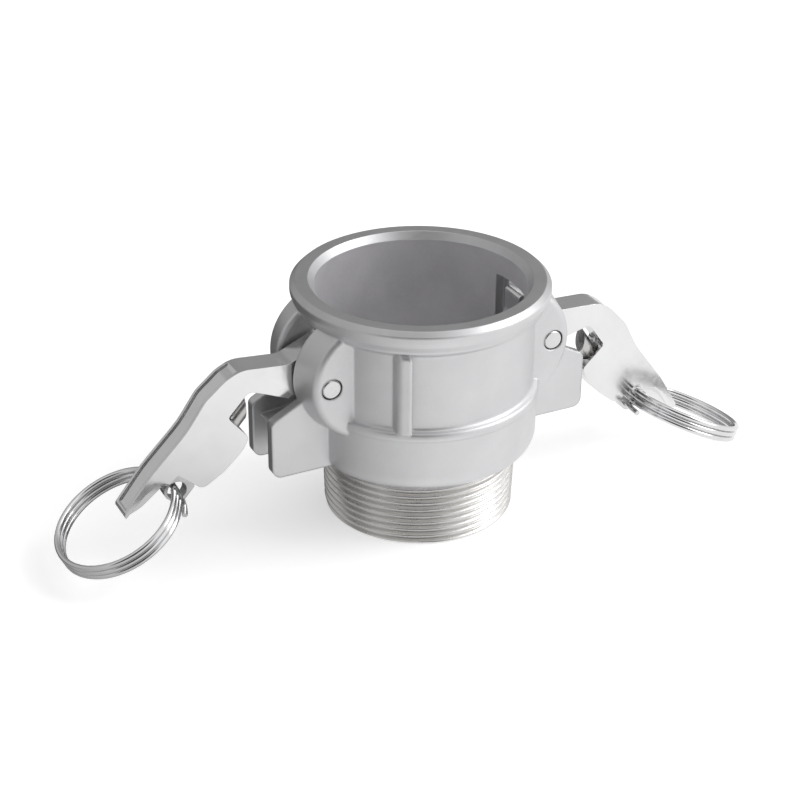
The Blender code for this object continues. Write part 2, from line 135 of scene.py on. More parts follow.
# The rings' wire, thicker than in the solids, its turns, and how far its loose end bends away
RING_WIRE_RADIUS = 0.00088
RING_PITCH = 0.0018
RING_FIRST_TURN = -0.085
RING_LAST_TURN = 2.96
RING_STEPS = 320
RING_FLARE = 0.0009

# How each ring hangs in its eye: dip, swing and twist in degrees
RING_POSES = {"left": (25.6, -3.4, 5.3), "right": (21.5, 22.3, -11.7)}

# The standard taper pipe thread of this size
THREAD_PITCH = 0.002309
THREAD_DEPTH = 0.00125
THREAD_PHASE = 0.115
THREAD_ROWS = 14

# How finely turned pieces are cut, how near points count as one, and the radius that stands for none
TURN_STEPS = 240
FINE_STEPS = 64
SAME_POINT = 0.000001
ON_AXIS = 0.000001


def move_to(thing, matrix):
    """Write a place into the piece's mesh."""
    thing.data.transform(matrix)
    return thing


def add_mesh(name, work):
    """Turn a bmesh into an object of the scene."""
    mesh = bpy.data.meshes.new(name)
    work.to_mesh(mesh)
    work.free()
    thing = bpy.data.objects.new(name, mesh)
    bpy.context.scene.collection.objects.link(thing)
    return thing


def apply_modifiers(thing):
    """Fix a piece's modifiers in its mesh."""
    bpy.context.view_layer.update()
    depsgraph = bpy.context.evaluated_depsgraph_get()
    mesh = bpy.data.meshes.new_from_object(thing.evaluated_get(depsgraph))
    thing.modifiers.clear()
    thing.data = mesh
    return thing


def arc(centre, radius, first, last, steps):
    """Return points on an arc, the angles in degrees."""
    points = []
    for step in range(steps + 1):
        angle = math.radians(first + (last - first) * step / steps)
        points.append((centre[0] + radius * math.cos(angle), centre[1] + radius * math.sin(angle)))
    return points


def rounded(corners, coarse=6):
    """Return the outline through corners (a, b, fillet radius), an arc point each few degrees."""
    points = []
    for index, (a, b, radius) in enumerate(corners):
        here = Vector((a, b))
        if radius == 0:
            points.append(tuple(here))
            continue
        before = Vector(corners[index - 1][:2]) - here
        after = Vector(corners[(index + 1) % len(corners)][:2]) - here
        half = before.angle(after) / 2
        if half > math.radians(89.5):
            points.append(tuple(here))
            continue
        reach = min(radius / math.tan(half), 0.48 * before.length, 0.48 * after.length)
        fillet = reach * math.tan(half)
        middle = (before.normalized() + after.normalized()).normalized()
        centre = here + middle * (fillet / math.sin(half))
        start = here + before.normalized() * reach - centre
        end = here + after.normalized() * reach - centre
        first = math.atan2(start.y, start.x)
        sweep = (math.atan2(end.y, end.x) - first + math.pi) % math.tau - math.pi
        steps = max(1, math.ceil(abs(math.degrees(sweep)) / coarse))
        points += arc(centre, fillet, math.degrees(first), math.degrees(first + sweep), steps)
    return points


def turned(name, profile, steps=TURN_STEPS):
    """Turn a closed profile of (radius, level) points about the Z axis."""
    work = bmesh.new()
    rows = [work.verts.new((radius, 0, level)) for radius, level in profile]
    pairs = list(zip(rows, rows[1:]))
    pairs.append((rows[-1], rows[0]))
    edges = [work.edges.new(pair) for pair in pairs]
    bmesh.ops.spin(work, geom=rows + edges, cent=(0, 0, 0), axis=(0, 0, 1), angle=math.tau,
                   steps=steps, use_merge=True, use_duplicate=False)
    bmesh.ops.remove_doubles(work, verts=work.verts, dist=SAME_POINT)
    bmesh.ops.recalc_face_normals(work, faces=work.faces)
    return add_mesh(name, work)


def plate(name, outlines, half_thickness, across=0.0, rim=0.0):
    """Fill outlines of (x, z) points, thicken them along Y and round the rim."""
    curve = bpy.data.curves.new(name, "CURVE")
    curve.dimensions = "2D"
    curve.fill_mode = "BOTH"
    curve.extrude = half_thickness
    for outline in outlines:
        spline = curve.splines.new("POLY")
        spline.points.add(len(outline) - 1)
        for point, (a, b) in zip(spline.points, outline):
            point.co = (a, b, 0, 1)
        spline.use_cyclic_u = True
    thing = mesh_of_curve(name, curve)
    move_to(thing, Matrix.Translation((0, across, 0)) @ Matrix.Rotation(math.pi / 2, 4, "X"))
    if rim:
        bevel = thing.modifiers.new("Rim", "BEVEL")
        bevel.width = rim
        bevel.segments = 3
        bevel.limit_method = "ANGLE"
        bevel.angle_limit = math.radians(60)
        apply_modifiers(thing)
    return thing


def mesh_of_curve(name, curve):
    """Turn a curve into a welded mesh object."""
    source = bpy.data.objects.new(name + ".curve", curve)
    bpy.context.scene.collection.objects.link(source)
    bpy.context.view_layer.update()
    depsgraph = bpy.context.evaluated_depsgraph_get()
    mesh = bpy.data.meshes.new_from_object(source.evaluated_get(depsgraph))
    bpy.data.objects.remove(source, do_unlink=True)
    work = bmesh.new()
    work.from_mesh(mesh)
    bmesh.ops.remove_doubles(work, verts=work.verts, dist=SAME_POINT)
    bmesh.ops.recalc_face_normals(work, faces=work.faces)
    return add_mesh(name, work)


def wire(name, points, radius):
    """Sweep a round wire along points, its ends capped."""
    curve = bpy.data.curves.new(name, "CURVE")
    curve.dimensions = "3D"
    curve.bevel_depth = radius
    curve.bevel_resolution = 4
    curve.use_fill_caps = True
    spline = curve.splines.new("POLY")
    spline.points.add(len(points) - 1)
    for point, place in zip(spline.points, points):
        point.co = (*place, 1)
    return mesh_of_curve(name, curve)


def rod(name, radius, start, end, far_radius=None, steps=FINE_STEPS):
    """Return a straight round bar or cone between two points."""
    start = Vector(start)
    end = Vector(end)
    if far_radius is None:
        far_radius = radius
    work = bmesh.new()
    bmesh.ops.create_cone(work, cap_ends=True, segments=steps, radius1=radius, radius2=far_radius,
                          depth=(end - start).length)
    turn = (end - start).to_track_quat("Z", "Y").to_matrix().to_4x4()
    return move_to(add_mesh(name, work), Matrix.Translation((start + end) / 2) @ turn)


def block(name, low, high):
    """Return a box between two corners."""
    work = bmesh.new()
    bmesh.ops.create_cube(work, size=1)
    low = Vector(low)
    high = Vector(high)
    size = Matrix.Diagonal((*(high - low), 1))
    return move_to(add_mesh(name, work), Matrix.Translation((low + high) / 2) @ size)


def loft(name, sections):
    """Join sections of equally many points into one closed solid."""
    work = bmesh.new()
    rows = [[work.verts.new(place) for place in section] for section in sections]
    count = len(sections[0])
    for one, two in zip(rows, rows[1:]):
        for index in range(count):
            after = (index + 1) % count
            work.faces.new((one[index], one[after], two[after], two[index]))
    work.faces.new(rows[0])
    work.faces.new(rows[-1])
    bmesh.ops.recalc_face_normals(work, faces=work.faces)
    return add_mesh(name, work)


def boolean(target, tool, operation):
    """Add a tool or take it away; the tool itself is then removed."""
    modifier = target.modifiers.new(tool.name, "BOOLEAN")
    modifier.operation = operation
    modifier.solver = "EXACT"
    modifier.object = tool
    apply_modifiers(target)
    bpy.data.objects.remove(tool, do_unlink=True)


def inset(offset, half, radius):
    """Return how far a rounded edge falls back at an offset from the middle of a thickness."""
    beyond = abs(offset) - (half - radius)
    if beyond <= 0:
        return 0.0
    return radius - math.sqrt(max(0.0, radius * radius - beyond * beyond))


def edge_stations(low, high, radius, steps=6):
    """Return stations across a thickness, close together where its edges are round."""
    half = (high - low) / 2
    middle = (low + high) / 2
    bends = [math.cos(math.radians(90 * step / steps)) for step in range(steps + 1)]
    reach = [half - radius + radius * bend for bend in bends]
    offsets = [-value for value in reach] + list(reversed(reach))
    return [(middle + offset, inset(offset, half, radius)) for offset in offsets]


def dress(thing, material, slot, body, *nodes, sharp=32):
    """Give a piece its material and body, hide the nodes that it stands for and shade it smooth; slot is
    not used.
    """
    mesh = thing.data
    if not mesh.materials:
        mesh.materials.append(material)
    mesh.shade_smooth()
    mesh.set_sharp_from_angle(angle=math.radians(sharp))
    even = thing.modifiers.new("Even faces", "WEIGHTED_NORMAL")
    even.keep_sharp = True
    apply_modifiers(thing)
    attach(thing, body)
    if nodes:
        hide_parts(*nodes)
    return thing


def body_profile():
    """Return the casting's turned profile with its fillets."""
    thread_top_radius = THREAD_RADIUS + THREAD_LENGTH * THREAD_TAPER
    shoulder = HUB_RADIUS - thread_top_radius
    shoulder_level = THREAD_LENGTH + GAP + shoulder
    lip_level = TOP - 0.0034
    groove_radius = GASKET_RADIUS + GAP
    groove_top = SEAT_LEVEL + GASKET_THICKNESS + 2 * GAP
    corners = [
        (BORE_RADIUS + 0.0017, TOP, 0.0002),
        (LIP_RADIUS - 0.0016, TOP, 0.0004),
        (LIP_RADIUS, TOP - 0.0015, 0.0007),
        (LIP_RADIUS, lip_level, 0.0008),
        (LIP_RADIUS - 0.0005, lip_level - 0.0015, 0.0010),
        (BAND_RADIUS, lip_level - 0.0036, 0.0020),
        (BAND_RADIUS, BAND_BOTTOM + 0.0009, 0.0012),
        (WALL_RADIUS, BAND_BOTTOM - 0.0011, 0.0014),
        (WALL_RADIUS, LEDGE_TOP + 0.0001, 0.0013),
        (BEAD_RADIUS - 0.0003, LEDGE_TOP - 0.0005, 0.0009),
        (BEAD_RADIUS, HUB_TOP + 0.0013, 0.0008),
        (BEAD_RADIUS - 0.0001, HUB_TOP + 0.0003, 0.0004),
        (HUB_RADIUS, HUB_TOP - 0.0001, 0.0003),
    ]
    corners += [(a, b, 0) for a, b in arc((thread_top_radius, shoulder_level), shoulder, 0, -90, 14)]
    corners += [
        (THREAD_RADIUS - 0.0016, THREAD_LENGTH + GAP, 0),
        (THREAD_RADIUS - 0.0016, THREAD_LENGTH - 0.0020, 0),
        (WATERWAY_RADIUS, THREAD_LENGTH - 0.0020, 0),
        (WATERWAY_RADIUS, SEAT_LEVEL, 0.0003),
        (groove_radius, SEAT_LEVEL, 0.0002),
        (groove_radius, groove_top, 0.0002),
        (BORE_RADIUS, groove_top, 0.0002),
        (BORE_RADIUS, TOP - 0.0022, 0.0003),
    ]
    return rounded(corners, coarse=12)


def ear(side, flank):
    """Return one curved cheek with rounded edges: side is -1 or 1 along X, flank -1 or 1 along Y."""
    centre = EAR_OUT - EAR_ARC_RADIUS
    level = PIVOT_LEVEL - 0.00015
    root = WALL_RADIUS - 0.0022
    sections = []
    for across, back in edge_stations(SLOT_HALF + 0.0001, EAR_HALF, EAR_EDGE):
        radius = EAR_ARC_RADIUS - back
        reach = math.degrees(math.acos((root - centre) / radius))
        section = []
        for out, up in arc((centre, level), radius, reach, -reach, 48):
            section.append((side * math.sqrt(out * out - across * across), flank * across, up))
        sections.append(section)
    return loft("ear", sections)


def rib(side):
    """Return one upright rib with round edges and ends."""
    low = LEDGE_TOP - 0.0012
    high = BAND_BOTTOM + 0.0002
    crest = WALL_RADIUS + RIB_RISE
    sections = []
    for across, back in edge_stations(RIB_INNER, RIB_OUTER, RIB_EDGE):
        depth = -math.sqrt((crest - back) ** 2 - across * across)
        root = -math.sqrt((WALL_RADIUS - 0.0015) ** 2 - across * across)
        corners = [
            (root, low + back, 0),
            (root, high - back, 0),
            (depth, high - back, 0.0016),
            (depth, low + 0.0010 + back, 0.0012),
            (depth + 0.0014, low + back, 0.0010),
        ]
        sections.append([(side * across, side * -y, z) for y, z in rounded(corners, coarse=15)])
    return loft("rib", sections)


def guard_pieces(side):
    """Return the two guard plates and the catch web of one side."""
    inner = GASKET_RADIUS + 2 * GAP
    bottom = SEAT_LEVEL - 0.0009
    outline = rounded([
        (side * inner, bottom, 0),
        (side * GUARD_REACH, bottom, 0.0030),
        (side * GUARD_REACH, LEDGE_TOP, 0.0022),
        (side * (PIVOT_OUT + 0.0074), LEDGE_TOP + 0.0045, 0.0030),
        (side * (PIVOT_OUT + 0.0030), LEDGE_TOP + 0.0069, 0),
        (side * inner, LEDGE_TOP + 0.0069, 0),
    ])
    half = GUARD_THICKNESS / 2
    middle = SLOT_HALF + 0.0002 + half
    pieces = [plate("guard", [outline], half, across, rim=GUARD_RIM) for across in (-middle, middle)]
    under = arc((0, PIVOT_LEVEL), CATCH_RADIUS, -50, -88, 24)
    root = inner + 0.0001
    web = [(side * root, HUB_TOP + 0.0006), (side * (PIVOT_OUT + 0.0010), HUB_TOP + 0.0006)]
    web += [(side * (PIVOT_OUT + 0.0131), HUB_TOP - 0.0008)]
    web += [(side * (PIVOT_OUT + a), b) for a, b in under]
    web += [(side * root, under[-1][1])]
    pieces.append(plate("web", [web], SLOT_HALF + 0.0006))
    return pieces


def build_body(cast, machined_and_painted_light, rim):
    """Build the casting: turned body, ears, guards, ribs, windows and pin holes."""
    body = turned("coupler_body", body_profile())
    for side in (-1, 1):
        for flank in (-1, 1):
            boolean(body, ear(side, flank), "UNION")
        for piece in guard_pieces(side):
            boolean(body, piece, "UNION")
        boolean(body, rib(side), "UNION")
    far = PIVOT_OUT + 0.02
    low = HUB_TOP + 0.0011
    high = BAND_BOTTOM - 0.0005
    boolean(body, block("window", (-far, -SLOT_HALF, low), (far, SLOT_HALF, high)), "DIFFERENCE")
    out = WALL_RADIUS - RECESS_DEPTH
    recess = block("recess", (-out, -RECESS_HALF, low + 0.0010), (out, RECESS_HALF, high))
    boolean(body, recess, "DIFFERENCE")
    for side in (-1, 1):
        start = (side * PIVOT_OUT, -EAR_HALF - 0.001, PIVOT_LEVEL)
        end = (side * PIVOT_OUT, EAR_HALF + 0.001, PIVOT_LEVEL)
        boolean(body, rod("pin hole", PIN_RADIUS + GAP, start, end), "DIFFERENCE")
    paint_body(body, cast, machined_and_painted_light, rim)
    return dress(body, cast, "body", "coupler", "body", sharp=40)


def paint_body(body, cast, machined_and_painted_light, rim):
    """Give the bore its smooth turned finish in a lighter colour, painted light in the shaded bore, and
    the mouth's up-facing faces a turned finish in a darker colour, painted shade.
    """
    body.data.materials.clear()
    for material in (cast, machined_and_painted_light, rim):
        body.data.materials.append(material)
    for polygon in body.data.polygons:
        centre = polygon.center
        # Faces in the bore get the lighter copy of the steel: painted light
        if math.hypot(centre.x, centre.y) < BORE_RADIUS + 0.0003:
            polygon.material_index = 1
        # Up-facing faces of the mouth get the darker copy of the steel: painted shade on faces that point
        # up
        elif centre.z > TOP - 0.0023 and polygon.normal.z > 0.5:
            polygon.material_index = 2
        else:
            polygon.material_index = 0


def thread_radius(level, turn):
    """Return the threaded surface's radius at a level and a fraction of a turn."""
    phase = (level / THREAD_PITCH - turn - THREAD_PHASE) % 1.0
    wave = 0.5 - 0.5 * math.cos(math.tau * phase)
    crest = wave ** 0.8
    full = THREAD_RADIUS + level * THREAD_TAPER
    fade = min(1.0, max(0.0, (THREAD_LENGTH + 0.0004 - level) / THREAD_PITCH))
    depth = THREAD_DEPTH * (0.25 + 0.75 * fade)
    chamfer = THREAD_RADIUS - 0.0009 + level * 1.1
    return min(full - depth * (1 - crest), chamfer)


def build_thread(material):
    """Build the taper thread as a sleeve round the waterway, its rows along the helix."""
    work = bmesh.new()
    top = THREAD_LENGTH + GAP
    last = int(top / THREAD_PITCH * THREAD_ROWS) + THREAD_ROWS
    grid = []
    for row in range(-THREAD_ROWS, last + 1):
        ring = []
        for step in range(TURN_STEPS + 1):
            turn = step / TURN_STEPS
            level = THREAD_PITCH * (row / THREAD_ROWS + turn - 1)
            radius = thread_radius(level, turn)
            angle = math.tau * turn
            ring.append(work.verts.new((radius * math.cos(angle), radius * math.sin(angle), level)))
        grid.append(ring)
    for low, high in zip(grid, grid[1:]):
        for step in range(TURN_STEPS):
            work.faces.new((low[step], low[step + 1], high[step + 1], high[step]))
    bmesh.ops.remove_doubles(work, verts=work.verts, dist=0.000002)
    for level, way in ((0.0, -1), (top, 1)):
        everything = work.verts[:] + work.edges[:] + work.faces[:]
        bmesh.ops.bisect_plane(work, geom=everything, dist=0.0000001, plane_co=(0, 0, level),
                               plane_no=(0, 0, way), clear_outer=True)
    bmesh.ops.holes_fill(work, edges=work.edges)
    bmesh.ops.recalc_face_normals(work, faces=work.faces)
    thread = add_mesh("pipe_thread", work)
    bore = rod("thread bore", WATERWAY_RADIUS, (0, 0, -0.01), (0, 0, 0.04), steps=TURN_STEPS)
    boolean(thread, bore, "DIFFERENCE")
    return dress(thread, material, "body", "coupler", sharp=50)


def build_gasket(material):
    """Build the flat sealing ring on its seat."""
    low = SEAT_LEVEL + GAP
    high = low + GASKET_THICKNESS
    corners = [(WATERWAY_RADIUS, high, 0.0006), (GASKET_RADIUS, high, 0.0006)]
    corners += [(GASKET_RADIUS, low, 0.0006), (WATERWAY_RADIUS, low, 0.0006)]
    gasket = turned("seal_ring", rounded(corners, coarse=20), steps=160)
    return dress(gasket, material, "gasket", "coupler", "gasket")


def arm_place(word):
    """Return the matrix from an arm's own frame to the world: X along the grip, Z across it."""
    joints = {joint["name"]: joint for joint in frame["joints"]}
    pivot = Vector(joints["arm_" + word + "_swing"]["pos_m"])
    along = Vector(joints["plunger_" + word + "_pull"]["axis"]).normalized()
    side = math.copysign(1, along.x)
    across = Vector((-side * along.z, 0, side * along.x))
    turn = Matrix((along, across.cross(along), across)).transposed().to_4x4()
    pivot.y = joints["ring_" + word + "_swing"]["pos_m"][1]
    return Matrix.Translation(pivot) @ turn


def lever_back():
    """Return the corners of the grip's back, from its tip to its bend."""
    return [
        (0.0656, 0.0230, 0.0015),
        (0.0520, 0.0238, 0.0400),
        (0.0350, 0.0229, 0.0300),
        (0.0245, 0.0242, 0.0080),
        (0.0163, 0.0230, 0.0060),
        (0.0113, 0.0209, 0.0120),
    ]


def lever_outline():
    """Return the side view of a cam arm."""
    corners = [(-0.0116, 0.0026, 0.0012), (-0.0117, 0.0010, 0.0010), (-0.0066, -0.0023, 0.0030)]
    corners += [(a, b, 0) for a, b in arc((0.0018, -0.0022), 0.0072, 200, 350, 30)]
    corners += [
        (0.0108, 0.0018, 0.0020),
        (0.0129, 0.0080, 0.0040),
        (0.0152, 0.0143, 0.0025),
        (NOTCH_WALL - 0.0003, 0.0145, 0.0012),
        (NOTCH_WALL + 0.0012, 0.0046, 0.0015),
        (0.0310, 0.0035, 0.0080),
        (0.0390, 0.0042, 0.0120),
        (LEVER_END - 0.0003, 0.0066, 0.0028),
        (LEVER_END - 0.0001, 0.0166, 0.0010),
        (0.0536, 0.0172, 0.0100),
        (0.0615, 0.0186, 0.0080),
        (0.0663, 0.0209, 0.0020),
    ]
    corners += lever_back()
    corners.append((0.0024, 0.0090, 0.0060))
    return rounded(corners)


def scoop(side):
    """Return the cutter of one hollow beside the grip's end, its walls slanted."""
    border = [
        (0.0500, 0.0130),
        (0.0504, 0.0160),
        (0.0514, 0.0184),
        (0.0535, 0.0205),
        (0.0570, 0.0215),
        (0.0640, 0.0219),
        (0.0800, 0.0221),
        (0.0800, 0.0130),
    ]
    sections = []
    for across, shift in ((LEVER_HALF + 0.0010, -0.0005), (SCOOP_WEB_HALF, 0.0016)):
        sections.append([(a + shift, side * across, b - 0.8 * shift) for a, b in border])
    return loft("scoop", sections)


def plunger_rod(name, radius, first, last, far_radius=None, steps=FINE_STEPS):
    """Return a round bar on the plunger's line between two places along an arm."""
    start = (first, 0, PLUNGER_ACROSS)
    end = (last, 0, PLUNGER_ACROSS)
    return rod(name, radius, start, end, far_radius=far_radius, steps=steps)


def back_panel():
    """Return the cutter that sinks the middle of the grip's back."""
    panel = [(a, b - PANEL_DEPTH, radius) for a, b, radius in lever_back()]
    a, b, radius = panel[0]
    panel[0] = (a - 0.0010, b, radius)
    panel += [(0.0085, 0.0260, 0), (0.0245, 0.0300, 0), (0.0646, 0.0300, 0)]
    return plate("panel", [rounded(panel)], LEVER_HALF - PANEL_BORDER)


def build_lever(word, place, material):
    """Build one cam arm: rounded rims, a sunk panel on its back, scooped sides at its end."""
    hole = arc((0, 0), PIN_RADIUS + GAP, 0, 354.375, 63)
    lever = plate("cam_lever_" + word, [lever_outline(), hole], LEVER_HALF, rim=LEVER_RIM)
    bore = plunger_rod("bore", NOSE_RADIUS + GAP, NOTCH_WALL - 0.002, BORE_END)
    boolean(lever, bore, "DIFFERENCE")
    bore = plunger_rod("rod hole", ROD_RADIUS + GAP, BORE_END - 0.001, LEVER_END + 0.002, steps=48)
    boolean(lever, bore, "DIFFERENCE")
    bore = plunger_rod("bore chamfer", 0.0048, NOTCH_WALL - 0.0012, NOTCH_WALL + 0.0015, far_radius=0.0029)
    boolean(lever, bore, "DIFFERENCE")
    boolean(lever, back_panel(), "DIFFERENCE")
    for side in (-1, 1):
        boolean(lever, scoop(side), "DIFFERENCE")
    move_to(lever, place)
    return dress(lever, material, "arm", "arm_" + word, "cam_arm_" + word)


def build_pin(word, side, material):
    """Build one pivot pin with chamfered ends."""
    chamfer = 0.0004
    corners = [
        (ON_AXIS, EAR_HALF, 0),
        (PIN_RADIUS - chamfer, EAR_HALF, 0.0002),
        (PIN_RADIUS, EAR_HALF - chamfer, 0.0002),
        (PIN_RADIUS, 0, 0),
    ]
    half = rounded(corners, coarse=20)[:-1]
    profile = half + [(radius, -level) for radius, level in reversed(half)]
    pin = turned("hinge_pin_" + word, profile, steps=FINE_STEPS)
    lay = Matrix.Rotation(math.pi / 2, 4, "X")
    move_to(pin, Matrix.Translation((side * PIVOT_OUT, 0, PIVOT_LEVEL)) @ lay)
    return dress(pin, material, "pin", "coupler", "pivot_pin_" + word)


def build_plunger(word, place, material):
    """Build one lock plunger with its slanted nose."""
    corners = [
        (ON_AXIS, ROD_END, 0),
        (ROD_RADIUS, ROD_END, 0.0002),
        (ROD_RADIUS, NOSE_SHOULDER, 0),
        (NOSE_RADIUS, NOSE_SHOULDER, 0.0003),
        (NOSE_RADIUS, NOSE_TIP, 0),
        (ON_AXIS, NOSE_TIP, 0),
    ]
    plunger = turned("lock_pin_" + word, rounded(corners, coarse=20), steps=FINE_STEPS)
    lay = Matrix.Rotation(math.pi / 2, 4, "Y")
    move_to(plunger, Matrix.Translation((0, 0, PLUNGER_ACROSS)) @ lay)
    wedge = block("tip", (-0.01, -0.01, -0.01), (0, 0.01, 0.01))
    middle = NOSE_TIP + NOSE_RADIUS * math.tan(TIP_SLANT)
    tilt = Matrix.Rotation(-TIP_SLANT, 4, "Y")
    move_to(wedge, Matrix.Translation((middle, 0, PLUNGER_ACROSS)) @ tilt)
    boolean(plunger, wedge, "DIFFERENCE")
    move_to(plunger, place)
    return dress(plunger, material, "plunger", "plunger_" + word, "lock_plunger_" + word)


def build_eye(word, place, material):
    """Build the block on the rod's end that holds the pull ring."""
    start = LEVER_END + GAP
    low = EYE_HOLE_ACROSS - 0.0040
    high = EYE_HOLE_ACROSS + 0.0038
    end = EYE_HOLE_ALONG + 0.0036
    corners = [(start, low, 0.0008), (end, low, 0.0030), (end, high, 0.0030), (start, high, 0.0008)]
    hole = arc((EYE_HOLE_ALONG, EYE_HOLE_ACROSS), EYE_HOLE_RADIUS, 0, 352.5, 47)
    eye = plate("ring_eye_" + word, [rounded(corners), hole], EYE_HALF, rim=EYE_RIM)
    socket = plunger_rod("socket", ROD_RADIUS + GAP, start - 0.001, ROD_END + GAP, steps=48)
    boolean(eye, socket, "DIFFERENCE")
    move_to(eye, place)
    return dress(eye, material, "eye", "plunger_" + word, "pull_eye_" + word)


def build_ring(word, side, place, material):
    """Build one split ring: three turns of bright wire through the eye, a loose end beside it."""
    dip, swing, twist = (math.radians(angle) for angle in RING_POSES[word])
    out = Vector((math.cos(dip) * math.cos(swing), -math.cos(dip) * math.sin(swing), -math.sin(dip)))
    level_side = Vector((0, 0, 1)).cross(out).normalized()
    back = level_side * math.cos(twist) + out.cross(level_side) * math.sin(twist)
    normal = out.cross(back)
    mirror = Matrix.Diagonal((side, 1, 1))
    eye = place @ Vector((EYE_HOLE_ALONG, 0, EYE_HOLE_ACROSS))
    points = []
    for step in range(RING_STEPS + 1):
        turn = RING_FIRST_TURN + (RING_LAST_TURN - RING_FIRST_TURN) * step / RING_STEPS
        angle = turn * math.tau
        on_ring = out * (RING_RADIUS * (1 - math.cos(angle))) + back * (RING_RADIUS * math.sin(angle))
        radial = (on_ring - out * RING_RADIUS) / RING_RADIUS
        flare = RING_FLARE * max(0.0, turn / RING_FIRST_TURN) ** 1.2
        lift = RING_PITCH * (turn - 1) - 0.5 * flare
        points.append(eye + mirror @ (on_ring + normal * lift + radial * flare))
    ring = wire("split_ring_" + word, points, RING_WIRE_RADIUS)
    return dress(ring, material, "ring", "ring_" + word, "pull_ring_" + word)


def new_tree(material):
    """Return an emptied node tree and its output."""
    material.use_nodes = True
    tree = material.node_tree
    tree.nodes.clear()
    output = tree.nodes.new("ShaderNodeOutputMaterial")
    return tree, output


def noise(tree, size, detail):
    """Return the value of a noise of a size in metres, laid out in the object's own space."""
    place = tree.nodes.new("ShaderNodeTexCoord")
    texture = tree.nodes.new("ShaderNodeTexNoise")
    texture.inputs["Scale"].default_value = 1 / size
    texture.inputs["Detail"].default_value = detail
    tree.links.new(place.outputs["Object"], texture.inputs["Vector"])
    return texture.outputs["Fac"]


def spread(tree, value, low, high):
    """Return a noise value, most of it from 0.3 to 0.7, stretched to low and high."""
    node = tree.nodes.new("ShaderNodeMapRange")
    node.inputs["From Min"].default_value = 0.3
    node.inputs["From Max"].default_value = 0.7
    node.inputs["To Min"].default_value = low
    node.inputs["To Max"].default_value = high
    tree.links.new(value, node.inputs["Value"])
    return node.outputs["Result"]


def bump(tree, height, depth, normal=None):
    """Return a normal that is bumped by a height, depth in metres."""
    node = tree.nodes.new("ShaderNodeBump")
    node.inputs["Distance"].default_value = depth
    node.inputs["Strength"].default_value = 1.0
    tree.links.new(height, node.inputs["Height"])
    if normal:
        tree.links.new(normal, node.inputs["Normal"])
    return node.outputs["Normal"]


def metal(name, colour, roughness, grain, depth, edge=0.0, stain=0.05, wave=0.0):
    """Return a metal.

    Grain and depth are its grain's size and height, edge is how far its edges look rounded, stain is
    how much its colour varies and wave is how high it is wavy; lengths are in metres.
    """
    material = bpy.data.materials.new(name)
    tree, output = new_tree(material)
    nodes, links = tree.nodes, tree.links
    shader = nodes.new("ShaderNodeBsdfPrincipled")
    shader.inputs["Metallic"].default_value = 1.0
    blotch = noise(tree, 0.011, 3.0)
    shade = nodes.new("ShaderNodeMix")
    shade.data_type = "RGBA"
    shade.inputs["A"].default_value = (*(part * (1 - stain) for part in colour), 1)
    shade.inputs["B"].default_value = (*(min(1.0, part * (1 + stain)) for part in colour), 1)
    links.new(spread(tree, blotch, 0.0, 1.0), shade.inputs["Factor"])
    links.new(shade.outputs["Result"], shader.inputs["Base Color"])
    fine = noise(tree, grain, 4.0)
    links.new(spread(tree, fine, roughness - 0.05, roughness + 0.05), shader.inputs["Roughness"])
    normal = None
    if edge:
        bevel = nodes.new("ShaderNodeBevel")
        bevel.samples = 6
        bevel.inputs["Radius"].default_value = edge
        normal = bevel.outputs["Normal"]
    if wave:
        normal = bump(tree, noise(tree, 0.006, 1.0), wave, normal)
    normal = bump(tree, fine, depth, normal)
    links.new(normal, shader.inputs["Normal"])
    links.new(shader.outputs["BSDF"], output.inputs["Surface"])
    return material


def rubber(name, colour):
    """Return a matt black rubber with a faint grain."""
    material = bpy.data.materials.new(name)
    tree, output = new_tree(material)
    shader = tree.nodes.new("ShaderNodeBsdfPrincipled")
    shader.inputs["Base Color"].default_value = (*colour, 1)
    fine = noise(tree, 0.0005, 3.0)
    tree.links.new(spread(tree, fine, 0.5, 0.7), shader.inputs["Roughness"])
    tree.links.new(bump(tree, fine, 0.00002), shader.inputs["Normal"])
    tree.links.new(shader.outputs["BSDF"], output.inputs["Surface"])
    return material


def side_gradient(tree, source, low, high):
    """Return a socket that runs from low, away from the light's side, to high, towards it."""
    dot = tree.nodes.new("ShaderNodeVectorMath")
    dot.operation = "DOT_PRODUCT"
    dot.inputs[1].default_value = LIGHT_SIDE
    unit = tree.nodes.new("ShaderNodeVectorMath")
    unit.operation = "NORMALIZE"
    tree.links.new(source, unit.inputs[0])
    tree.links.new(unit.outputs["Vector"], dot.inputs[0])
    stretch = tree.nodes.new("ShaderNodeMapRange")
    stretch.interpolation_type = "SMOOTHSTEP"
    stretch.inputs["From Min"].default_value = -STUDIO_REACH
    stretch.inputs["From Max"].default_value = STUDIO_REACH
    stretch.inputs["To Min"].default_value = low
    stretch.inputs["To Max"].default_value = high
    tree.links.new(dot.outputs["Value"], stretch.inputs["Value"])
    return stretch.outputs["Result"]


def dark_patch(tree, level, source, direction, patch):
    """Return a level that a patch darkens round a direction."""
    rim, core, depth = patch
    dot = tree.nodes.new("ShaderNodeVectorMath")
    dot.operation = "DOT_PRODUCT"
    dot.inputs[1].default_value = direction
    tree.links.new(source, dot.inputs[0])
    factor = tree.nodes.new("ShaderNodeMapRange")
    factor.interpolation_type = "SMOOTHSTEP"
    factor.inputs["From Min"].default_value = rim
    factor.inputs["From Max"].default_value = core
    factor.inputs["To Min"].default_value = 1.0
    factor.inputs["To Max"].default_value = 1.0 - depth
    tree.links.new(dot.outputs["Value"], factor.inputs["Value"])
    product = tree.nodes.new("ShaderNodeMath")
    product.operation = "MULTIPLY"
    tree.links.new(level, product.inputs[0])
    tree.links.new(factor.outputs["Result"], product.inputs[1])
    return product.outputs["Value"]


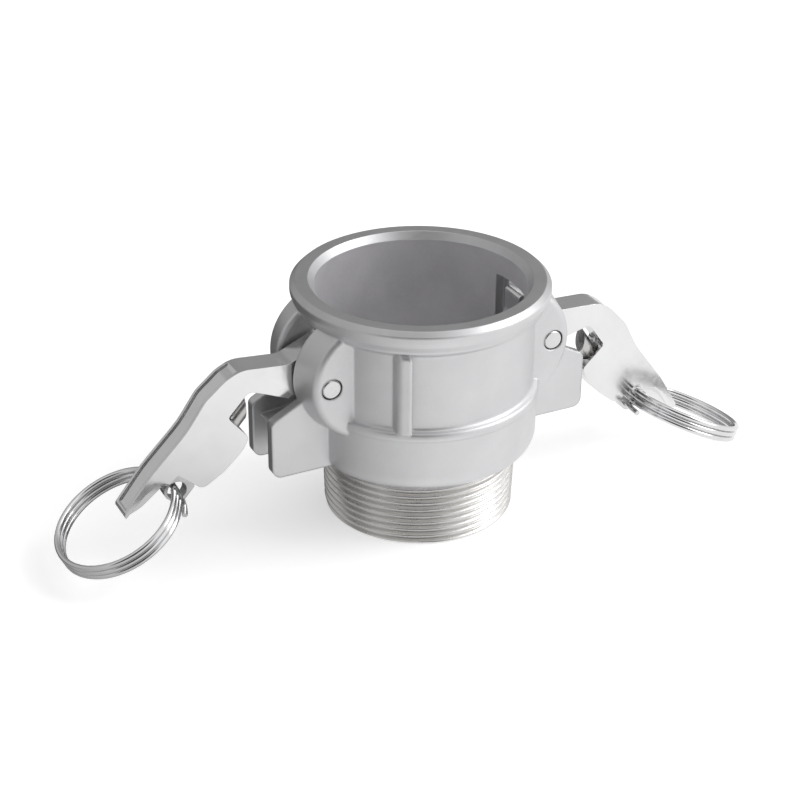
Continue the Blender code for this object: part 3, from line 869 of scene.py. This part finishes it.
def build_world():
    """White behind the object, and a studio that is darker on one side around it."""
    world = bpy.data.worlds.new("studio")
    bpy.context.scene.world = world
    world.use_nodes = True
    tree = world.node_tree
    tree.nodes.clear()
    output = tree.nodes.new("ShaderNodeOutputWorld")
    rays = tree.nodes.new("ShaderNodeLightPath")
    place = tree.nodes.new("ShaderNodeTexCoord")
    white = tree.nodes.new("ShaderNodeBackground")
    white.inputs["Color"].default_value = (1, 1, 1, 1)
    studio = tree.nodes.new("ShaderNodeBackground")
    studio.inputs["Color"].default_value = (1, 1, 1, 1)
    look = place.outputs["Generated"]
    level = side_gradient(tree, look, STUDIO_DARK, STUDIO_BRIGHT)
    level = dark_patch(tree, level, look, BEHIND, BEHIND_PATCH)
    level = dark_patch(tree, level, look, CAMERA_SIDE, CAMERA_PATCH)
    tree.links.new(level, studio.inputs["Strength"])
    mix = tree.nodes.new("ShaderNodeMixShader")
    tree.links.new(rays.outputs["Is Camera Ray"], mix.inputs["Fac"])
    tree.links.new(studio.outputs["Background"], mix.inputs[1])
    tree.links.new(white.outputs["Background"], mix.inputs[2])
    tree.links.new(mix.outputs["Shader"], output.inputs["Surface"])


def build_floor():
    """A pale floor that the object stands on, with the studio's light and dark in its mirror image."""
    work = bmesh.new()
    bmesh.ops.create_circle(work, cap_ends=True, segments=96, radius=3.0)
    floor = add_mesh("floor", work)
    material = bpy.data.materials.new("floor")
    tree, output = new_tree(material)
    nodes, links = tree.nodes, tree.links
    rays = nodes.new("ShaderNodeLightPath")
    place = nodes.new("ShaderNodeNewGeometry")
    matt = nodes.new("ShaderNodeBsdfDiffuse")
    matt.inputs["Color"].default_value = (0.85, 0.85, 0.85, 1)
    lift = nodes.new("ShaderNodeEmission")
    lift.inputs["Color"].default_value = (0.45, 0.45, 0.45, 1)
    links.new(rays.outputs["Is Camera Ray"], lift.inputs["Strength"])
    seen = nodes.new("ShaderNodeAddShader")
    links.new(matt.outputs["BSDF"], seen.inputs[0])
    links.new(lift.outputs["Emission"], seen.inputs[1])
    mirrored = nodes.new("ShaderNodeEmission")
    level = side_gradient(tree, place.outputs["Position"], STUDIO_DARK, STUDIO_BRIGHT)
    away = nodes.new("ShaderNodeVectorMath")
    away.operation = "NORMALIZE"
    links.new(place.outputs["Position"], away.inputs[0])
    level = dark_patch(tree, level, away.outputs["Vector"], BACK_LEFT, BACK_LEFT_PATCH)
    links.new(level, mirrored.inputs["Strength"])
    mix = nodes.new("ShaderNodeMixShader")
    links.new(rays.outputs["Is Glossy Ray"], mix.inputs["Fac"])
    links.new(seen.outputs["Shader"], mix.inputs[1])
    links.new(mirrored.outputs["Emission"], mix.inputs[2])
    links.new(mix.outputs["Shader"], output.inputs["Surface"])
    floor.data.materials.append(material)


def add_light(name, place, size, power):
    """Add a soft square lamp that faces the object's middle."""
    lamp = bpy.data.lights.new(name, "AREA")
    lamp.size = size
    lamp.energy = power
    thing = bpy.data.objects.new(name, lamp)
    bpy.context.scene.collection.objects.link(thing)
    thing.location = place
    aim = Vector((0, 0, 0.04)) - Vector(place)
    thing.rotation_euler = aim.to_track_quat("-Z", "Y").to_euler()


def build_camera():
    """Add the camera at the photo's place."""
    data = bpy.data.cameras.new("camera")
    data.lens = CAMERA_LENS
    data.sensor_width = 36
    camera = bpy.data.objects.new("camera", data)
    bpy.context.scene.collection.objects.link(camera)
    camera.location = CAMERA_PLACE
    camera.rotation_euler = [math.radians(angle) for angle in CAMERA_TURN]
    bpy.context.scene.camera = camera


def build_looks():
    """Return the materials by the name of what they are for."""
    polished = metal("polished arm", (0.81, 0.81, 0.81), 0.19, 0.0020, 0.000003, edge=0.0002,
                     stain=0.03, wave=0.00001)
    return {
        "cast": metal("cast steel", (0.67, 0.67, 0.68), 0.46, 0.0005, 0.000012, edge=0.0010, stain=0.03),
        # The bore's steel: a smooth, rougher turned finish, its colour set lighter than the casting's as
        # painted light in the shaded bore
        "machined_and_painted_light": metal("machined_steel_painted_lighter", (0.74, 0.73, 0.75), 0.66, 0.0010, 0.000006, edge=0.0003),
        # The mouth's top faces: a turned finish, its colour set darker than the other steel as painted
        # shade on faces that point up
        "rim": metal("turned_rim_painted_darker", (0.56, 0.56, 0.57), 0.42, 0.0010, 0.000006, edge=0.0003),
        "thread": metal("cut thread", (0.66, 0.65, 0.635), 0.30, 0.0020, 0.000004, stain=0.06),
        "arm": polished,
        "pin": metal("pin steel", (0.70, 0.70, 0.70), 0.25, 0.0010, 0.000004),
        "plunger": metal("plunger steel", (0.55, 0.54, 0.53), 0.28, 0.0010, 0.000004),
        "spring": metal("spring wire", (0.60, 0.60, 0.60), 0.28, 0.0010, 0.000004),
        "eye": metal("eye steel", (0.66, 0.66, 0.66), 0.25, 0.0010, 0.000006, edge=0.0003),
        "ring": metal("ring wire", (0.74, 0.74, 0.75), 0.12, 0.0010, 0.000002),
        "gasket": rubber("seal rubber", (0.03, 0.03, 0.03)),
    }


def main():
    """Build the fine pieces round the frame, and the studio."""
    looks = build_looks()
    build_body(looks["cast"], looks["machined_and_painted_light"], looks["rim"])
    build_thread(looks["thread"])
    build_gasket(looks["gasket"])
    for word, side in (("left", -1), ("right", 1)):
        place = arm_place(word)
        build_pin(word, side, looks["pin"])
        build_lever(word, place, looks["arm"])
        build_plunger(word, place, looks["plunger"])
        build_eye(word, place, looks["eye"])
        build_ring(word, side, place, looks["ring"])
        spring = frame["nodes"]["plunger_spring_" + word]
        spring.data.materials.clear()
        spring.data.materials.append(looks["spring"])
    build_world()
    build_floor()
    build_camera()
    add_light("key", KEY_PLACE, KEY_SIZE, KEY_POWER)
    bpy.context.scene.view_settings.view_transform = "Standard"


main()
